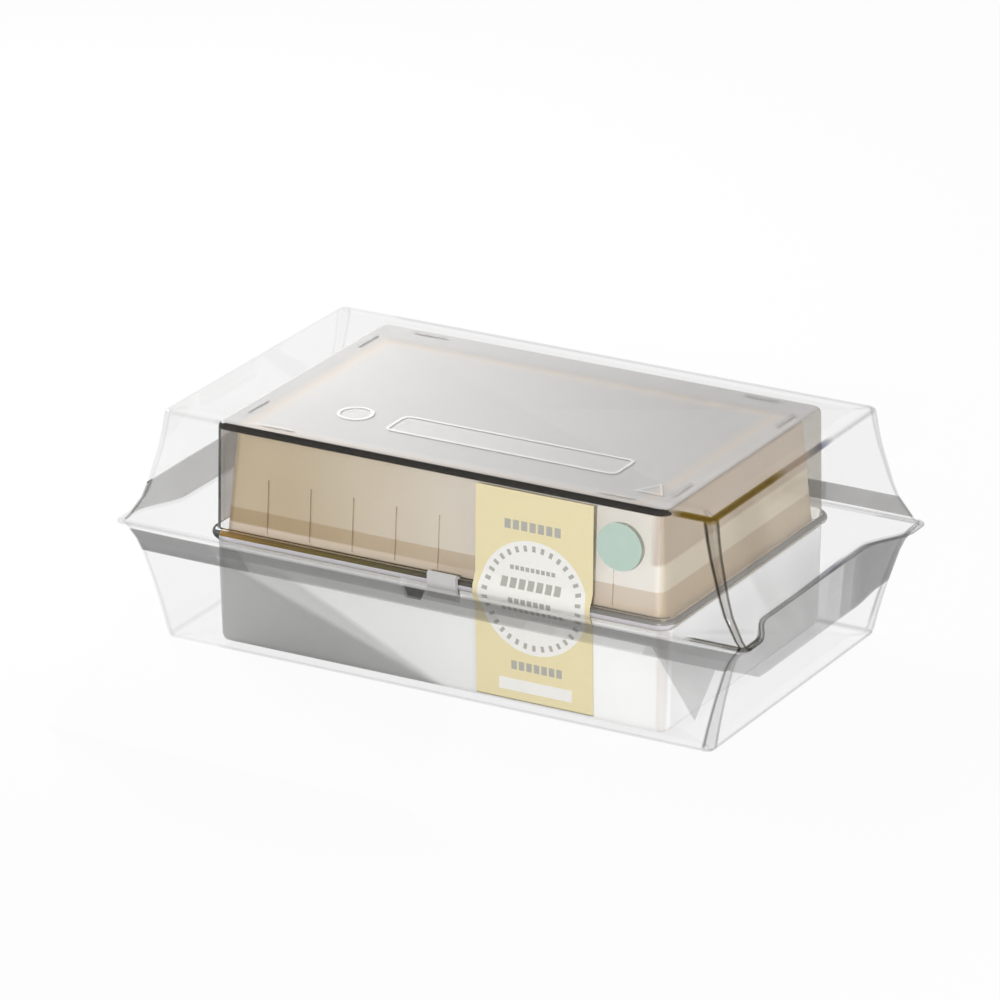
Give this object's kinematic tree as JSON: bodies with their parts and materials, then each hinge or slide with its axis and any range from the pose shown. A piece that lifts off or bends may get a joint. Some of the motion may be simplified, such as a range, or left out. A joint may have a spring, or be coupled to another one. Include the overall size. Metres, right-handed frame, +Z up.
{
  "type": "box of pipette tips",
  "caption": "Rack box of pipette tips with a clear lid over a tip carrier, sealed inside a clear formed wrap with a welded seam at mid height.",
  "frame": {"origin": "middle of the clear wrap's flat bottom face, where the pack stands on a bench", "axes": "+X along the box's length, +Y from the latch and label side to the hinge side, +Z up through the lid"},
  "size_m": [0.1736, 0.0958, 0.0595],
  "materials": {
    "clear_film": "clear formed film, glossy",
    "base_plastic": "white moulded polypropylene, satin",
    "lid_plastic": "smoky clear moulded plastic, fine matt top",
    "carrier_plastic": "peach translucent polypropylene",
    "tip_plastic": "natural polypropylene",
    "label_paper": "pale yellow satin label",
    "dot_paper": "grey green sticker"
  },
  "bodies": {
    "root": {"wrap_lower_shell": "clear_film", "wrap_upper_shell": "clear_film", "box_base": "base_plastic", "box_lid": "lid_plastic", "tip_carrier": "carrier_plastic", "front_label": "label_paper", "indicator_dot": "dot_paper", "tip_column_01": "tip_plastic", "tip_column_02": "tip_plastic", "tip_column_03": "tip_plastic", "tip_column_04": "tip_plastic", "tip_column_05": "tip_plastic", "tip_column_06": "tip_plastic", "tip_column_07": "tip_plastic", "tip_column_08": "tip_plastic", "tip_column_09": "tip_plastic", "tip_column_10": "tip_plastic", "tip_column_11": "tip_plastic", "tip_column_12": "tip_plastic"}
  },
  "joints": []
}
